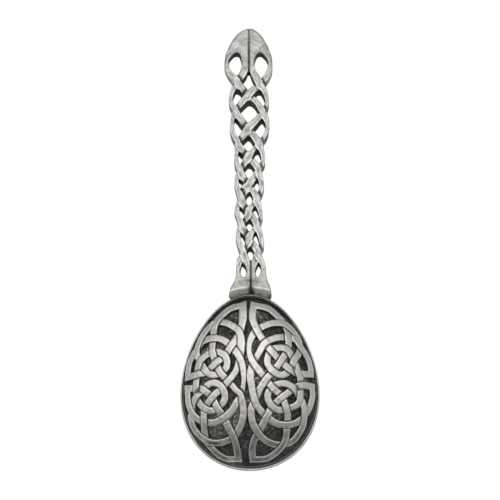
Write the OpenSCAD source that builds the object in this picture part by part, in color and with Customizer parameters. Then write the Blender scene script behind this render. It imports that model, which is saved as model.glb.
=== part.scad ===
// Cast love spoon, laid with its bowl face down: two knotwork panels on the back of the bowl,
// a collar, a handle plaited from four strands, and a finial with two eyes. Millimetres.

/* [Bowl] */
// Length of the bowl over its rim
bowl_len = 58.4; // [54:0.2:64]
// Half width of the bowl at the middle of its length
bowl_half_w = 22.7; // [21:0.1:25]
// Half width that the outline gains from its middle to its tip
bowl_taper = 3.6; // [2:0.1:4.5]
// Height of the bowl's back over its rim
bowl_h = 11.5; // [10:0.1:13]
// Thickness of the bowl's wall
bowl_wall = 1.5; // [1.2:0.1:2]

/* [Rim] */
// Width of the rim at the sides of the bowl
rim_w = 1.2; // [1:0.1:1.5]
// Height of the rim's ridge
rim_h = 2; // [1.6:0.1:2.4]

/* [Knots] */
// Width of a knot cord
cord_w = 2; // [1.8:0.1:2.1]
// Height of a knot cord between its crossings
cord_h = 1.3; // [1.1:0.1:1.5]
// Height of a knot cord's top where it passes over another
cord_over_h = 1.5; // [1.4:0.1:1.8]
// Height of a knot cord's top where it passes under another
cord_under_h = 0.66; // [0.5:0.02:0.7]

/* [Handle] */
// Length of the handle from the bowl's edge to the top of the finial
handle_len = 92.6; // [88:0.2:100]
// Thickness of the handle
handle_t = 5; // [4:0.1:6]
// Angle between the bowl's rim and the handle
handle_set = 20; // [16:0.5:24]
// Height of the handle's middle over the bowl's rim, where it leaves the bowl
handle_rise = 2.6; // [2:0.1:3.2]
// Width of a strand of the plait at its widest
strand_w = 2.2; // [1.9:0.1:2.3]
// Width of a strand where it runs into the finial
finial_root_w = 1.8; // [1.6:0.1:2]
// Width of a strand where it runs into the collar
collar_root_w = 1.5; // [1.3:0.1:1.7]
// Length over which a strand widens above the collar
root_taper = 40; // [30:1:50]
// Length over which a strand widens below the finial
top_taper = 4.6; // [3:0.2:8]
// Bevel along the edges of a strand
strand_bevel = 0.5; // [0.2:0.05:0.6]

/* [Finial and collar] */
// Half width of the finial at its eyes
finial_half_w = 8; // [7.6:0.1:9]
// Length of the finial, from its top to where the strands begin
finial_len = 13.6; // [12.6:0.1:14.6]
// Height of an eye's arch over the strands
eye_rise = 5.1; // [3.5:0.1:6]
// Length of the collar from the bowl's edge to the strands
collar_len = 9; // [8:0.1:10]
// Half width of the collar where the strands begin
collar_top_w = 4.8; // [4.5:0.1:5.4]
// Half width of the collar at its foot
collar_half_w = 7; // [6:0.1:8]
// Depth of a collar eye under the strands
collar_eye = 3.8; // [2:0.1:4.5]
// Distance of the collar's foot from the bowl's edge, at its front
foot_rise = 0.9; // [0.5:0.1:1.5]
// Slant of the collar's foot
foot_slant = 26; // [10:1:35]
// Width of the seam between the two halves of the finial, and of the collar
seam = 0.4; // [0.3:0.05:0.6]

/* [Resting] */
// Depth of the flats that the spoon rests on
rest_flat = 0.3; // [0.2:0.05:0.4]

/* [Hidden] */
// Gap that keeps neighbouring solids apart
gap = 0.1;
// Larger than the spoon in every direction
far = 300;
// Steps for each stretch of a drawn outline, and short steps that slopes are measured over
outline_steps = 3;
slope_step = 0.4;
normal_step = 0.05;
// How squarely the back rises from the rim, and the hollow inside it
back_power = 0.55;
hollow_power = 0.5;
// Steps round the bowl, and from its crown to its rim outside and inside
bowl_turns = 72;
back_rings = 12;
hollow_rings = 8;
rim_share = rim_w / bowl_half_w;
// Section of the rim: share of the way in from the edge, and share of the ridge's height
rim_section = [[0, 0], [0, 0.55], [0.15, 0.85], [0.4, 1], [0.7, 0.85], [1, 0.8], [1, 0]];

// The bowl's size that the knots are drawn for, half its width and its length
drawn_half_w = 22.7;
drawn_len = 58.4;
// Crossings of the knots: the same 27 in each panel, numbered alike
left_crossings = [[-3.4, 16.5], [-6.3, 12.1], [-8.3, 9.0], [-11.3, 6.6], [-14.4, 3.7],
    [-17.5, 2.7], [-17.5, 11.2], [-12.2, 14.7], [-12.4, 10.0], [-9.8, 3.4], [-7.2, 0.6],
    [-3.4, 8.3], [-3.0, -4.0], [-15.2, -12.9], [-14.4, -19.2], [-11.1, 20.0],
    [-18.4, -1.5], [-8.6, -11.5], [-19.2, -9.8], [-14.6, -2.2], [-10.8, -8.2],
    [-5.4, -18.0], [-14.9, -8.5], [-9.2, -1.6], [-12.6, -4.9], [-16.3, 6.7], [-17.6, -5.7]];
right_crossings = [[2.3, 17.5], [5.0, 13.2], [6.9, 10.7], [10.2, 7.2], [13.2, 4.2],
    [16.6, 2.9], [16.7, 11.9], [12.5, 15.0], [12.4, 10.9], [7.7, 3.8], [5.3, 1.2],
    [1.1, 6.7], [1.6, -5.9], [12.3, -13.9], [11.0, -20.4], [11.3, 19.4],
    [17.1, -0.8], [5.6, -11.1], [18.0, -11.0], [14.0, -2.2], [7.4, -7.8],
    [2.7, -16.5], [12.0, -8.6], [7.3, -1.5], [10.6, -4.7], [14.9, 8.2], [16.6, -5.5]];
// Routes of the knot cords: a number is a crossing, a pair is a bend between two crossings
left_route = [[-5.4, 25.2], [-3.3, 25.7], [-2.3, 24.2], [-2.3, 21.0], 0, [-4.8, 14.2], 1, 2,
    3, 4, 5, [-19.4, 2.0], [-20.7, 2.6], [-20.5, 4.9], [-19.6, 8.3], 6, [-14.9, 13.3], 7,
    [-9.2, 14.3], 1, 11, [-2.2, 4.8], [-2.2, 0.5], 12, [-4.5, -6.5], [-6.0, -9.2], 17,
    [-11.8, -13.1], 13, [-17.3, -12.0], 18, [-20.7, -6.6], [-21.2, -4.0], [-20.7, -2.1],
    [-19.5, -1.6], 16, [-16.6, -1.3], 19, 24, 20, 17, [-7.2, -14.6], 21, [-4.1, -22.0], [-3.7, -24.3],
    [-4.9, -25.5], [-7.8, -24.9], [-11.5, -22.7], 14, [-15.1, -15.8], 13, [-15.3, -10.8],
    22, 24, 23, 10, [-5.1, 3.8], 11, [-3.0, 11.0], [-2.9, 13.6], 0, [-5.0, 18.3],
    [-7.8, 19.7], 15, [-13.8, 18.0], [-16.3, 15.0], 6, [-17.0, 9.0], 25, 4, [-12.4, 2.6],
    9, [-7.9, 5.0], [-7.6, 7.0], 2, [-10.2, 10.1], 8, [-14.7, 9.0], 25, [-17.3, 4.8], 5,
    [-18.0, 0.6], 16, 26, [-16.3, -7.1], 22, [-12.8, -9.2], 20, [-8.7, -6.3], [-8.3, -4.0],
    23, [-10.8, -0.2], [-13.1, -0.2], 19, [-15.7, -4.2], 26, [-18.6, -7.2], 18, [-19.6, -12.0],
    [-18.0, -16.0], 14, [-11.0, -19.9], [-8.0, -19.3], 21, [-3.9, -15.8], [-2.6, -12.6],
    [-2.3, -9.0], 12, [-4.8, -2.2], 10, 9, 3, 8, [-12.4, 12.4], 7, [-12.0, 17.4], 15,
    [-9.3, 22.2], [-7.4, 24.0]];
right_route = [[4.6, 25.5], [2.5, 25.8], [1.3, 24.3], [1.1, 21.2], 0, [3.6, 15.3], 1, 2,
    3, 4, 5, [18.4, 2.5], [20.2, 3.1], [20.0, 5.4], [19.0, 8.4], 6, [14.6, 13.8], 7,
    [8.6, 14.8], 1, [3.0, 10.0], 11, [0.2, 3.3], [0.4, -0.2], 12, [3.3, -8.8], 17,
    [8.5, -13.3], 13, [15.5, -13.1], 18, [19.7, -8.2], [20.7, -4.8], [21.0, -2.6],
    [20.4, -1.0], [18.6, -0.8], 16, 19, 24, 20, 17, [4.2, -13.8], 21, [1.2, -19.4],
    [0.5, -22.6], [0.9, -24.9], [2.5, -25.8], [5.4, -25.1], [8.7, -23.0], 14, [12.0, -17.4],
    13, [12.5, -11.3], 22, 24, 23, 10, [3.3, 3.7], 11, [-0.2, 9.7], [-0.2, 12.8],
    [0.8, 15.6], 0, [5.4, 19.1], [8.4, 19.8], 15, [13.9, 17.4], [15.9, 14.7], 6,
    [16.1, 9.6], 25, 4, [10.5, 2.6], 9, [5.9, 6.2], [5.9, 8.6], 2, [9.4, 11.6], 8, [13.8, 9.6], 25,
    [16.1, 5.8], 5, [16.7, 1.0], 16, 26, [15.0, -7.5], 22, [9.6, -9.0], 20, [6.0, -5.5], [6.0, -3.4], 23,
    [9.2, -0.4], [12.0, -0.3], 19, 26, [17.8, -7.8], 18, [17.3, -14.8], [14.4, -19.0], 14,
    [7.6, -20.2], [4.8, -18.8], 21, [1.2, -14.0], [0.5, -11.2], [0.5, -8.4], 12,
    [3.0, -2.5], 10, 9, 3, 8, [12.8, 13.0], 7, [12.4, 17.2], 15, [9.4, 21.7], [6.8, 24.0]];
// Dense steps along each stretch of a route, and the longest stretch between two rings
route_steps = 6;
ring_step = 1.7;
// Slack that a crossing keeps past the other cord's edge, and the gap between its two cords
crossing_slack = 0.1;
crossing_gap = 0.14;
// Bevel along a cord's edges, and the least height of its sides
cord_bevel = 0.35;
cord_side = 0.2;

// Points of the plait, distance along the handle and offset from its middle: where strands
// cross on the left, in the middle and on the right, and where they turn back at the sides
cross_left = [[74.3, -4.7], [64.1, -4.6], [53.5, -4.3], [43.3, -3.1], [34.2, -2.6],
    [25.0, -2.4], [15.2, -2.2]];
cross_mid = [[69.2, -0.8], [58.4, -0.8], [48.3, -0.7], [38.7, -0.7], [29.6, -0.6],
    [20.3, -0.3]];
cross_right = [[73.4, 4.0], [63.4, 4.5], [52.9, 4.0], [43.0, 3.5], [33.8, 3.1],
    [24.6, 3.1], [14.6, 3.1]];
turn_left = [[68.3, -6.3], [58.4, -6.2], [48.1, -5.1], [38.6, -4.6], [29.0, -4.5],
    [19.7, -4.1]];
turn_right = [[68.5, 5.7], [59.0, 5.6], [47.9, 4.6], [37.9, 4.1], [27.8, 4.0], [18.4, 3.8]];
// Ends of the plait that these points are drawn for
drawn_foot = 9;
drawn_top = 79;
// Middles of the finial and the collar
finial_x = -0.4;
collar_x = 0.3;
// Middles of the strands' ends from the middle of the finial and of the collar
finial_inner = (finial_root_w + seam) / 2;
finial_outer = finial_half_w - finial_root_w / 2;
collar_inner = (collar_root_w + seam) / 2;
collar_outer = collar_top_w - collar_root_w / 2;
// How far the handle's faces fall away at its sides
crown = 0.5;
// Longest stretch between two rings of a strand
strand_step = 2.2;
// Outline of a finial's half: share of its half width, share of its length from the top
finial_outline = [[0.2, 0], [0.38, 0.06], [0.53, 0.16], [0.66, 0.28], [0.77, 0.42],
    [0.86, 0.56], [0.93, 0.7], [0.98, 0.85], [1, 1]];
// Outline of a collar's half: share of its widening, share of its length from the bowl
collar_outline = [[0, 1], [0.05, 0.8], [0.12, 0.6], [0.28, 0.44], [0.55, 0.3], [0.8, 0.18],
    [0.97, 0.08], [1, -0.02], [0.9, -0.14], [0.6, -0.25]];
arch_steps = 16;

// Tilt that brings the bowl's tip and the back of the finial to the table
end_y = bowl_len / 2 + handle_len * cos(handle_set) - handle_t / 2 * sin(handle_set);
end_z = handle_rise - handle_len * sin(handle_set) - handle_t / 2 * cos(handle_set);
tilt = atan2(-end_z, end_y + bowl_len / 2);
lift = bowl_len / 2 * sin(tilt) - rest_flat;
// Ends of the laid spoon along the table, which its origin lies midway between
top_y = end_y + handle_t * sin(handle_set);
top_z = end_z + handle_t * cos(handle_set);
far_y = top_y * cos(tilt) - top_z * sin(tilt);
near_y = -bowl_len / 2 * cos(tilt) - rim_h * rim_section[1][1] * sin(tilt);
mid_y = (far_y + near_y) / 2;

function mix(a, b, t) = a + (b - a) * t;
function unit(v) = v / norm(v);
// Half width that the bowl's outline is drawn with at a share of its half length
function base_w(v) = bowl_half_w - bowl_taper * v;
// Point of the outline scaled to r, at angle a from the handle
function outline_at(r, a) = let (v = r * cos(a)) [base_w(v) * r * sin(a), v * bowl_len / 2];
// Share of the way from the crown to the rim at a place on the bowl
function rim_distance(x, y) = let (v = 2 * y / bowl_len) sqrt(v * v + pow(x / base_w(v), 2));
function back_z(x, y) = bowl_h * pow(max(0, 1 - pow(rim_distance(x, y), 2)), back_power);
function on_back(p) = [p.x, p.y, back_z(p.x, p.y)];
function back_normal(x, y) = let (d = normal_step) unit([
    (back_z(x - d, y) - back_z(x + d, y)) / (2 * d),
    (back_z(x, y - d) - back_z(x, y + d)) / (2 * d), 1]);

// Smooth curve through points: place on the stretch from b to c
function smooth(a, b, c, d, t) = 0.5 * (2 * b + (c - a) * t + (2 * a - 5 * b + 4 * c - d) * t * t
    + (3 * b - a - 3 * c + d) * t * t * t);
function smooth_loop(pts, steps) = let (n = len(pts)) [for (i = [0:n - 1], k = [0:steps - 1])
    smooth(pts[(i + n - 1) % n], pts[i], pts[(i + 1) % n], pts[(i + 2) % n], k / steps)];
function smooth_line(pts, steps) = let (n = len(pts)) concat(
    [for (i = [0:n - 2], k = [0:steps - 1])
        smooth(pts[max(0, i - 1)], pts[i], pts[i + 1], pts[min(n - 1, i + 2)], k / steps)],
    [pts[n - 1]]);

// Side faces between rings of points, the last joined to the first on a loop
function side_faces(rings, sides, loop) = [
    for (i = [0:rings - (loop ? 1 : 2)], j = [0:sides - 1])
        let (a = i * sides + j, b = i * sides + (j + 1) % sides)
        let (c = (a + sides) % (rings * sides), d = (b + sides) % (rings * sides))
        each [[a, d, b], [a, c, d]]];
module sweep_loop(rings) {
    sides = len(rings[0]);
    polyhedron([for (r = rings) each r], side_faces(len(rings), sides, true));
}
module sweep_line(rings) {
    sides = len(rings[0]);
    last = (len(rings) - 1) * sides;
    polyhedron([for (r = rings) each r], concat(side_faces(len(rings), sides, false),
        [[for (j = [0:sides - 1]) j]], [[for (j = [sides - 1:-1:0]) last + j]]));
}

// Stands the spoon on the table, with the origin under the middle of its box
module laid() {
    translate([0, -mid_y, lift]) rotate([tilt, 0, 0]) children();
}
// Frame of the handle: x across, y along it from the bowl, z towards its front
module on_handle() {
    translate([0, bowl_len / 2, handle_rise]) rotate([-handle_set, 0, 0]) children();
}
module below_table() {
    translate([-far / 2, -far / 2, -far]) cube(far);
}

// Height over the table of a point of the bowl
function over_table(p) = (p.y + bowl_len / 2) * sin(tilt) + p.z * cos(tilt) - rest_flat;
// A point that would lie under the table is brought up to it
function rested(p) = p + max(0, -over_table(p)) * [0, sin(tilt), cos(tilt)];

module bowl_shell() {
    edge = 1 - rim_share - gap / bowl_half_w;
    inner = 1 - bowl_wall / (bowl_half_w * edge);
    back = [for (i = [1:back_rings]) let (r = edge * sin(90 * i / back_rings))
        [for (k = [0:bowl_turns - 1]) let (p = outline_at(r, 360 * k / bowl_turns)) on_back(p)]];
    foot = [for (p = back[back_rings - 1]) [p.x, p.y, 0]];
    hollow = [for (i = [hollow_rings:-1:1]) let (s = sin(90 * i / hollow_rings))
        [for (k = [0:bowl_turns - 1]) let (p = outline_at(edge * s, 360 * k / bowl_turns) * inner)
            [p.x, p.y, (bowl_h - bowl_wall) * pow(1 - s * s, hollow_power)]]];
    rings = concat(back, [foot], hollow);
    count = len(rings) * bowl_turns;
    pole = [count, count + 1];
    caps = [for (k = [0:bowl_turns - 1]) let (n = (k + 1) % bowl_turns)
        each [[pole[0], k, n], [pole[1], count - bowl_turns + n, count - bowl_turns + k]]];
    points = concat([for (r = rings) each r], [[0, 0, bowl_h], [0, 0, bowl_h - bowl_wall]]);
    color("darkgray") laid()
        polyhedron(points, concat(side_faces(len(rings), bowl_turns, false), caps));
}

module bowl_rim() {
    rings = [for (k = [0:bowl_turns - 1]) [for (s = rim_section)
        let (p = outline_at(1 - s[0] * rim_share, 360 * k / bowl_turns))
        rested([p.x, p.y, s[1] * rim_h])]];
    color("silver") laid() sweep_loop(rings);
}

// Route with its crossings filled in, at the bowl's real size
function full_route(route, crossings) = [for (e = route) let (p = is_num(e) ? crossings[e] : e)
    [p.x * bowl_half_w / drawn_half_w, p.y * bowl_len / drawn_len]];
function running_length(pts) = [for (i = 0, s = 0; i <= len(pts);
    s = s + norm(pts[(i + 1) % len(pts)] - pts[i % len(pts)]), i = i + 1) s];

// Level of the nth passage along the route: the first one is first_level
function level(n, first_level) = n % 2 == 0 ? first_level : -first_level;

module knot_cord(route, crossings, first_level) {
    dense = [for (p = smooth_loop(full_route(route, crossings), route_steps)) on_back(p)];
    lengths = running_length(dense);
    total = lengths[len(lengths) - 1];
    xs = [for (i = [0:len(dense)]) [lengths[i], dense[i % len(dense)].x]];
    ys = [for (i = [0:len(dense)]) [lengths[i], dense[i % len(dense)].y]];
    function wrapped(s) = s < 0 ? s + total : s >= total ? s - total : s;
    function spot(s) = let (w = wrapped(s)) on_back([lookup(w, xs), lookup(w, ys)]);
    function heading(s) = unit(spot(s + slope_step) - spot(s - slope_step));
    // Passages: where along the route each crossing is met, and which crossing it is
    passes = [for (i = [0:len(route) - 1]) if (is_num(route[i])) [lengths[i * route_steps], route[i]]];
    count = len(passes);
    // Half length of the flat part of a passage: it grows as the two cords cross more askew
    reach = [for (i = [0:count - 1])
        let (other = [for (j = [0:count - 1]) if (j != i && passes[j][1] == passes[i][1]) j][0])
        let (along = abs(heading(passes[i][0]) * heading(passes[other][0])))
        cord_w / 2 * (1 + along) / sqrt(1 - along * along) + crossing_slack];
    stations = [for (i = [0:count - 1])
        let (s = passes[i][0], r = reach[i], next = (i + 1) % count)
        let (s_next = passes[next][0] + (next == 0 ? total : 0))
        let (free = s_next - reach[next] - s - r, parts = max(2, ceil(free / ring_step)))
        each concat([[s - r, level(i, first_level)], [s, level(i, first_level)],
            [s + r, level(i, first_level)]],
            [for (k = [1:parts - 1]) [s + r + free * k / parts, 0]])];
    rings = [for (st = stations)
        let (p = spot(st[0]), up = back_normal(p.x, p.y), side = cross(up, heading(st[0])))
        let (low = st[1] > 0 ? cord_under_h + crossing_gap : gap)
        let (high = st[1] > 0 ? cord_over_h : st[1] < 0 ? cord_under_h : cord_h)
        let (shoulder = max(low + cord_side, high - cord_bevel), half = cord_w / 2)
        [p - side * half + up * low, p + side * half + up * low,
            p + side * half + up * shoulder, p + side * (half - cord_bevel) + up * high,
            p - side * (half - cord_bevel) + up * high, p - side * half + up * shoulder]];
    laid() sweep_loop(rings);
}
module knot_cord_left() {
    color("lightgray") knot_cord(left_route, left_crossings, -1);
}
module knot_cord_right() {
    color("gainsboro") knot_cord(right_route, right_crossings, 1);
}

// Points that each strand runs through, from the finial down to the collar
function strand_points(i) =
    i == 1 ? [[drawn_top, finial_x - finial_outer], cross_left[0], cross_mid[0], cross_right[1],
        turn_right[1], cross_right[2], cross_mid[2], cross_left[3], turn_left[3], cross_left[4],
        cross_mid[4], cross_right[5], turn_right[5], cross_right[6],
        [drawn_foot, collar_x + collar_inner]]
    : i == 2 ? [[drawn_top, finial_x - finial_inner], cross_left[0], turn_left[0], cross_left[1],
        cross_mid[1], cross_right[2], turn_right[2], cross_right[3], cross_mid[3], cross_left[4],
        turn_left[4], cross_left[5], cross_mid[5], cross_right[6],
        [drawn_foot, collar_x + collar_outer]]
    : i == 3 ? [[drawn_top, finial_x + finial_inner], cross_right[0], turn_right[0],
        cross_right[1], cross_mid[1], cross_left[2], turn_left[2], cross_left[3], cross_mid[3],
        cross_right[4], turn_right[4], cross_right[5], cross_mid[5], cross_left[6],
        [drawn_foot, collar_x - collar_outer]]
    : [[drawn_top, finial_x + finial_outer], cross_right[0], cross_mid[0], cross_left[1],
        turn_left[1], cross_left[2], cross_mid[2], cross_right[3], turn_right[3],
        cross_right[4], cross_mid[4], cross_left[5], turn_left[5], cross_left[6],
        [drawn_foot, collar_x - collar_inner]];
function among(p, list) = len([for (q = list) if (q == p) 1]) > 0;
// Place along the handle for a drawn one
function along(u) = mix(collar_len, handle_len - finial_len,
    (u - drawn_foot) / (drawn_top - drawn_foot));
function strand_path(i) = let (pts = smooth_line(strand_points(i), route_steps))
    [for (k = [len(pts) - 1:-1:0]) [along(pts[k][0]), pts[k][1]]];
// Width of a strand, narrower towards its ends
function width_at(u) = let (low = (u - collar_len) / root_taper)
    let (high = (handle_len - finial_len - u) / top_taper)
    low < high ? mix(collar_root_w, strand_w, min(1, low)) : mix(finial_root_w, strand_w, min(1, high));
function slope_at(path, u) = (lookup(u + slope_step, path) - lookup(u - slope_step, path))
    / (2 * slope_step);
function across(path, u) = width_at(u) * sqrt(1 + pow(slope_at(path, u), 2));

// Half length of the stretch in which two strands lie over each other at a crossing
function overlap_reach(path, other, u) = (across(path, u) + across(other, u)) / 2
    / abs(slope_at(path, u) - slope_at(other, u)) + gap;

module plait_strand(i) {
    path = strand_path(i);
    turns = concat(turn_left, turn_right);
    pts = strand_points(i);
    met = [for (k = [1:len(pts) - 2]) if (!among(pts[k], turns)) pts[k]];
    count = len(met);
    first = i == 1 || i == 3 ? 1 : -1;
    others = [for (m = met) [for (j = [1:4]) if (j != i
        && among(m, strand_points(j))) strand_path(j)][0]];
    reach = [for (k = [0:count - 1]) overlap_reach(path, others[k], along(met[k][0]))];
    ends = [for (k = [0:count - 1]) let (u = along(met[k][0])) [u + reach[k], u - reach[k]]];
    top = handle_len - finial_len;
    free = [for (k = [0:count]) [k == 0 ? top : ends[k - 1][1], k == count ? collar_len : ends[k][0]]];
    stations = [for (k = [0:count]) let (n = max(2, ceil((free[k][0] - free[k][1]) / strand_step)))
        let (from = k == 0 ? 0 : 1, to = k == count ? n : n - 1) each concat(
            [for (m = [from:to]) [mix(free[k][0], free[k][1], m / n), 0]],
            k == count ? [] : [for (m = [1, 0, -1])
                [along(met[k][0]) + m * reach[k], level(k, first)]])];
    rings = [for (st = stations)
        let (u = st[0], x = lookup(u, path), w = across(path, u) / 2)
        let (b = strand_bevel * w / width_at(u) * 2, face = handle_t / 2 - crown * pow(x / finial_half_w, 2))
        let (low = st[1] > 0 ? gap / 2 : -face, high = st[1] < 0 ? -gap / 2 : face)
        [for (q = [[-w, low + strand_bevel], [-w + b, low], [w - b, low], [w, low + strand_bevel],
            [w, high - strand_bevel], [w - b, high], [-w + b, high], [-w, high - strand_bevel]])
            [x + q[0], u, q[1]]]];
    laid() on_handle() sweep_line(rings);
}
module plait_strand_1() {
    color("silver") plait_strand(1);
}
module plait_strand_2() {
    color("lightgray") plait_strand(2);
}
module plait_strand_3() {
    color("gainsboro") plait_strand(3);
}
module plait_strand_4() {
    color("darkgray") plait_strand(4);
}

// Arch or hollow of an eye between two legs, from the outer leg to the inner one
function eye_curve(outer, inner, u, rise) = [for (k = [0:arch_steps])
    [mix(outer, inner, (1 - cos(180 * k / arch_steps)) / 2), u + rise * sin(180 * k / arch_steps)]];

// Half of the finial: the outer leg and the inner one meet over the eye
module finial_half(side) {
    root = handle_len - finial_len;
    edge = smooth_line([for (p = finial_outline)
        [p[0] * finial_half_w, handle_len - p[1] * finial_len]], outline_steps);
    eye = eye_curve(finial_half_w - finial_root_w, seam / 2 + finial_root_w, root, eye_rise);
    difference() {
        laid() on_handle() translate([finial_x, 0, -handle_t / 2]) linear_extrude(handle_t)
            scale([side, 1]) polygon(concat([[seam / 2, handle_len]], edge, eye, [[seam / 2, root]]));
        below_table();
    }
}
module finial_left() {
    color("silver") finial_half(-1);
}
module finial_right() {
    color("silver") finial_half(1);
}

// Half of the collar: it spreads to a slanted foot that stands round the bowl's end
module collar_half(side) {
    edge = smooth_line([for (p = collar_outline)
        [mix(collar_top_w, collar_half_w, p[0]), p[1] * collar_len]], outline_steps);
    eye = eye_curve(collar_top_w - collar_root_w, seam / 2 + collar_root_w, collar_len, -collar_eye);
    low = collar_outline[len(collar_outline) - 1][1] * collar_len;
    round_bowl = 1 + gap / bowl_half_w;
    difference() {
        laid() on_handle() translate([collar_x, 0, -handle_t / 2]) linear_extrude(handle_t)
            scale([side, 1]) polygon(concat([[seam / 2, collar_len], [seam / 2, low]],
                [for (k = [len(edge) - 1:-1:0]) edge[k]], eye));
        laid() linear_extrude(far, center = true)
            polygon([for (k = [0:bowl_turns - 1]) outline_at(round_bowl, 360 * k / bowl_turns)]);
        laid() on_handle() translate([0, foot_rise, handle_t / 2]) rotate([-foot_slant, 0, 0])
            translate([-far / 2, -far, -far / 2]) cube(far);
    }
}
module collar_left() {
    color("darkgray") collar_half(-1);
}
module collar_right() {
    color("darkgray") collar_half(1);
}

bowl_shell();
bowl_rim();
knot_cord_left();
knot_cord_right();
collar_left();
collar_right();
plait_strand_1();
plait_strand_2();
plait_strand_3();
plait_strand_4();
finial_left();
finial_right();
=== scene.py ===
import math

import bmesh
import bpy
import numpy as np
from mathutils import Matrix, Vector, kdtree, noise


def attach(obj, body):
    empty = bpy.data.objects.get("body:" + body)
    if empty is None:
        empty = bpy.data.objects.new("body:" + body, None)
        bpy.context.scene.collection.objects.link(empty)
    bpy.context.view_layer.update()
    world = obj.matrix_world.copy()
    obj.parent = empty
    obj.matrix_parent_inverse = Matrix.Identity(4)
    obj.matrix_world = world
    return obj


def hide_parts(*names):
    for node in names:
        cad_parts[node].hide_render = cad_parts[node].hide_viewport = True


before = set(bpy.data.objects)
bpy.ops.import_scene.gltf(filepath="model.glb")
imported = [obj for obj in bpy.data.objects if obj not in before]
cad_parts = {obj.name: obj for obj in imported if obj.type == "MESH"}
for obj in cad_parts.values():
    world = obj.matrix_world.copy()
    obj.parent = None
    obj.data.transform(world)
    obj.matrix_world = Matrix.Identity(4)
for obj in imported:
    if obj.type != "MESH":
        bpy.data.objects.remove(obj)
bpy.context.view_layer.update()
print("frame loaded:", len(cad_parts), "nodes")

# Shapes are drawn in millimetres in the bowl's own plane, and laid() brings them to the frame's metres
mm = 0.001

bowl = {
    "length": 58.4,
    "halfWidth": 22.7,
    "taper": 3.6,                  # how much the half width changes from the middle to an end
    "height": 11.5,
    "wall": 1.5,
    "backPower": 0.55,             # how squarely the back rises from the rim
    "hollowPower": 0.5,
    "segments": 320,
    "rings": 200,
    "edgeShare": 0.94,             # the shell's edge lies inside the rim
    "edgeHeight": 0.2,
    "stipplePitch": 0.62,
    "stippleDepth": 0.07,
    "stippleEdge": (0.93, 0.85),   # share of the way out where the stipple starts, and where it is full
    "patchSize": 7,
    "groundWear": (0.05, 0.12),    # between the straps, and more on rubbed patches
    "stippleWear": (0.45, 1.6),    # the same for the tops of the stipple
    "hollowWear": 0.62,
    "rimHeight": 2.0,
    "rimEdgeShare": 0.55,          # the solid rim's side is upright up to this share of it
    "restFlat": 0.3,               # how much the tip is flattened where it rests on the table
}

handle = {
    "length": 92.6,
    "thickness": 5.0,
    "set": math.radians(20),   # angle between the bowl's rim and the handle
    "rise": 2.6,               # the handle's middle over the rim's plane, where the two meet
    "crown": 0.5,              # how much lower the face is at the finial's edges
    "finialHalfWidth": 8.0,
}

# How the spoon is laid on the table: the bowl's tip and the back of the finial touch it
setCos, setSin = math.cos(handle["set"]), math.sin(handle["set"])
endY = bowl["length"] / 2 + handle["length"] * setCos - handle["thickness"] / 2 * setSin
endZ = handle["rise"] - handle["length"] * setSin - handle["thickness"] / 2 * setCos
tilt = math.atan2(-endZ, endY + bowl["length"] / 2)
tiltCos, tiltSin = math.cos(tilt), math.sin(tilt)
lift = bowl["length"] / 2 * tiltSin - bowl["restFlat"]
topY = endY + handle["thickness"] * setSin
topZ = endZ + handle["thickness"] * setCos
farY = topY * tiltCos - topZ * tiltSin
nearY = -bowl["length"] / 2 * tiltCos - bowl["rimHeight"] * bowl["rimEdgeShare"] * tiltSin
midY = (farY + nearY) / 2


def laid(p):
    x, y, z = np.asarray(p, float).T
    return np.stack([x, y * tiltCos - z * tiltSin - midY, y * tiltSin + z * tiltCos + lift], 1) * mm


def onHandle(p):  # x across, y along the handle from the bowl, z towards its front
    x, y, z = np.asarray(p, float).T
    return np.stack([x, bowl["length"] / 2 + y * setCos + z * setSin,
                     handle["rise"] - y * setSin + z * setCos], 1)


def smoothStep(low, high, value):
    t = np.clip((value - low) / (high - low), 0, 1)
    return t * t * (3 - 2 * t)


def unitRows(v):
    return v / np.maximum(np.linalg.norm(v, axis=1, keepdims=True), 1e-9)


def baseWidth(v):
    return bowl["halfWidth"] - bowl["taper"] * v


def rimDistance(x, y):
    v = 2 * y / bowl["length"]
    return np.sqrt(v * v + (x / baseWidth(v)) ** 2)


def backZ(x, y):
    return bowl["height"] * np.maximum(0, 1 - rimDistance(x, y) ** 2) ** bowl["backPower"]


def backNormal(x, y):
    d = 0.05
    slopeX = (backZ(x + d, y) - backZ(x - d, y)) / (2 * d)
    slopeY = (backZ(x, y + d) - backZ(x, y - d)) / (2 * d)
    return unitRows(np.stack([-slopeX, -slopeY, np.ones_like(slopeX)], 1))


def grain(points, size, seed=0.0):
    return np.array([noise.noise(Vector((p[0] / size + seed, p[1] / size, p[2] / size))) for p in points])


def nearLine(points, line):
    best = np.full(len(points), 1e9)
    for a, b in zip(line[:-1], line[1:]):
        span = b - a
        t = np.clip(((points - a) @ span) / max(span @ span, 1e-12), 0, 1)
        best = np.minimum(best, np.linalg.norm(points - a - t[:, None] * span, axis=1))
    return best


def curvePoint(a, b, c, d, t):
    return 0.5 * (2 * b + (c - a) * t + (2 * a - 5 * b + 4 * c - d) * t * t
                  + (3 * b - a - 3 * c + d) * t ** 3)


def tubeFaces(count, around, closed):
    rings = count if closed else count - 1
    return [(i * around + j, i * around + (j + 1) % around,
             (i + 1) % count * around + (j + 1) % around, (i + 1) % count * around + j)
            for i in range(rings) for j in range(around)]


def deselectAll():
    for other in bpy.context.selected_objects:
        other.select_set(False)


def selectOnly(piece):
    deselectAll()
    piece.select_set(True)
    bpy.context.view_layer.objects.active = piece


def faceOutwards(mesh):
    shape = bmesh.new()
    shape.from_mesh(mesh)
    bmesh.ops.recalc_face_normals(shape, faces=shape.faces)
    shape.to_mesh(mesh)
    shape.free()


def addMesh(name, points, faces):
    mesh = bpy.data.meshes.new(name)
    mesh.from_pydata([tuple(p) for p in points], [], faces)
    piece = bpy.data.objects.new(name, mesh)
    bpy.context.scene.collection.objects.link(piece)
    return piece


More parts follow.
